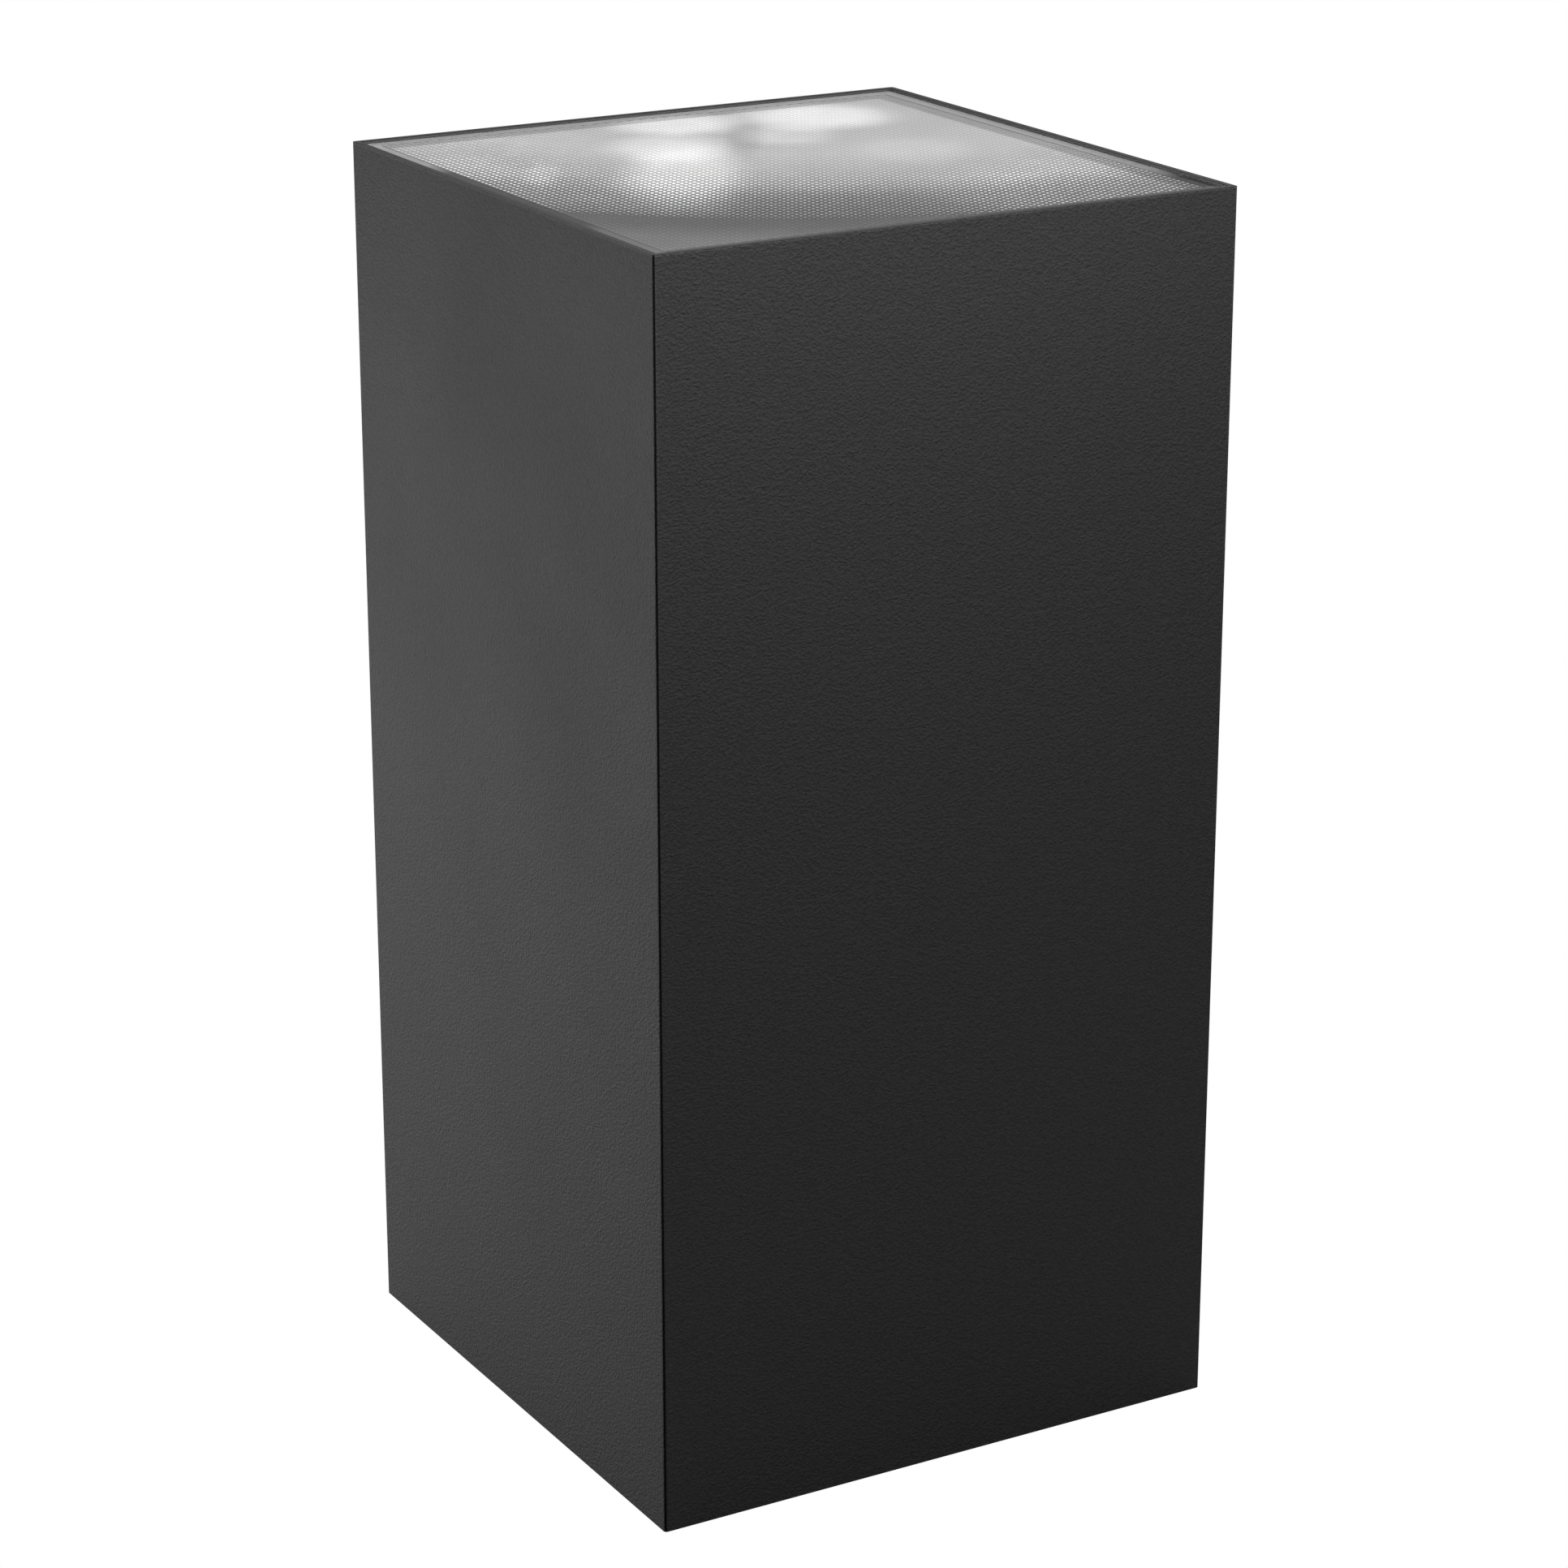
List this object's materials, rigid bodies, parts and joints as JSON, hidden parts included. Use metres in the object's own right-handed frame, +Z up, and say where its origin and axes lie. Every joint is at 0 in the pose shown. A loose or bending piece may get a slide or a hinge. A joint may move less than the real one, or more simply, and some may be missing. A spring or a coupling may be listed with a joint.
{
  "type": "bollard light",
  "caption": "Square bollard light: dark box housing that lifts off a bolted base, with a flush prismatic lens in its top over a sealed light head.",
  "frame": {"origin": "centre of the underside, on the ground", "axes": "+Z up through the lens, +X and +Y square to the sides; the grub screws are in the +X and +Y sides"},
  "size_m": [0.15, 0.15, 0.3],
  "materials": {
    "powder_coat": "fine textured dark grey powder coat",
    "lens": "clear prismatic acrylic",
    "pale_silicone": "pale grey silicone",
    "reflector_white": "gloss white",
    "die_cast": "as cast",
    "extruded_aluminium": "clear anodised extrusion",
    "cast_base": "as cast",
    "zinc_steel": "bright zinc plated",
    "steel_fasteners": "stainless",
    "dark_screws": "blackened stainless",
    "black_rubber": "matt EPDM",
    "black_plastic": "moulded nylon",
    "cable_sheath": "matt rubber sheath",
    "earth_sheath": "green and yellow sheath",
    "wire_red": "wire insulation",
    "block_plastic": "moulded light grey",
    "lever_plastic": "moulded orange",
    "brass": "bright",
    "driver_plastic": "moulded white",
    "circuit_board": "solder mask",
    "winding": "taped winding",
    "capacitor": "printed sleeve, blank",
    "surge_plastic": "moulded grey",
    "phosphor": "phosphor on ceramic",
    "holder_plastic": "moulded white",
    "thermal_silicone": "soft pad"
  },
  "bodies": {
    "base": {"ground_pad": "black_rubber", "base_plate": "cast_base", "side_brackets": "zinc_steel", "bracket_screws": "steel_fasteners", "gland_bridge": "zinc_steel", "bridge_screws": "steel_fasteners", "gland_bodies": "black_plastic", "gland_seals": "black_rubber", "gland_nuts": "black_plastic", "gland_locknuts": "black_plastic", "gear_tray": "zinc_steel", "tray_screws": "steel_fasteners", "grommets": "black_rubber", "terminal_block": "block_plastic", "terminal_contacts": "brass", "terminal_screws": "steel_fasteners", "driver_case": "driver_plastic", "driver_cover": "driver_plastic", "driver_board": "circuit_board", "driver_transformer": "winding", "driver_capacitors": "capacitor", "driver_screws": "steel_fasteners", "input_leads": "cable_sheath", "output_lead": "cable_sheath", "surge_protector": "surge_plastic", "surge_lead": "cable_sheath", "surge_screws": "steel_fasteners", "earth_stud": "steel_fasteners", "earth_nuts": "steel_fasteners", "earth_lead": "earth_sheath", "lead_socket": "black_plastic", "socket_screw": "steel_fasteners"},
    "live_lever": {"live_lever": "lever_plastic"},
    "neutral_lever": {"neutral_lever": "lever_plastic"},
    "earth_lever": {"earth_lever": "lever_plastic"},
    "housing": {"housing": "powder_coat", "stop_tabs": "zinc_steel", "weld_nuts": "zinc_steel", "grub_screws": "dark_screws", "head_ledge": "zinc_steel", "head_screws": "steel_fasteners"},
    "head": {"top_lens": "lens", "lens_seal": "pale_silicone", "reflector": "reflector_white", "head_pan": "die_cast", "led_chip": "phosphor", "led_holder": "holder_plastic", "holder_screws": "steel_fasteners", "thermal_pad": "thermal_silicone", "led_wires": "wire_red", "heat_sink": "extruded_aluminium", "heat_sink_screws": "steel_fasteners", "breather_vent": "black_plastic", "lead_gland": "black_plastic", "head_lead": "cable_sheath", "lead_plug": "black_plastic"}
  },
  "joints": [
    {"name": "housing_lift", "type": "slide", "parent": "base", "child": "housing", "axis": [0, 0, 1], "range_m": [0, 0.24]},
    {"name": "head_lift", "type": "slide", "parent": "housing", "child": "head", "axis": [0, 0, 1], "range_m": [0, 0.12]},
    {"name": "live_clamp", "type": "hinge", "parent": "base", "child": "live_lever", "pos_m": [-0.011, 0.0216, 0.08], "axis": [-1, 0, 0], "range_deg": [0, 85]},
    {"name": "neutral_clamp", "type": "hinge", "parent": "base", "child": "neutral_lever", "pos_m": [0, 0.0216, 0.08], "axis": [-1, 0, 0], "range_deg": [0, 85]},
    {"name": "earth_clamp", "type": "hinge", "parent": "base", "child": "earth_lever", "pos_m": [0.011, 0.0216, 0.08], "axis": [-1, 0, 0], "range_deg": [0, 85]}
  ]
}
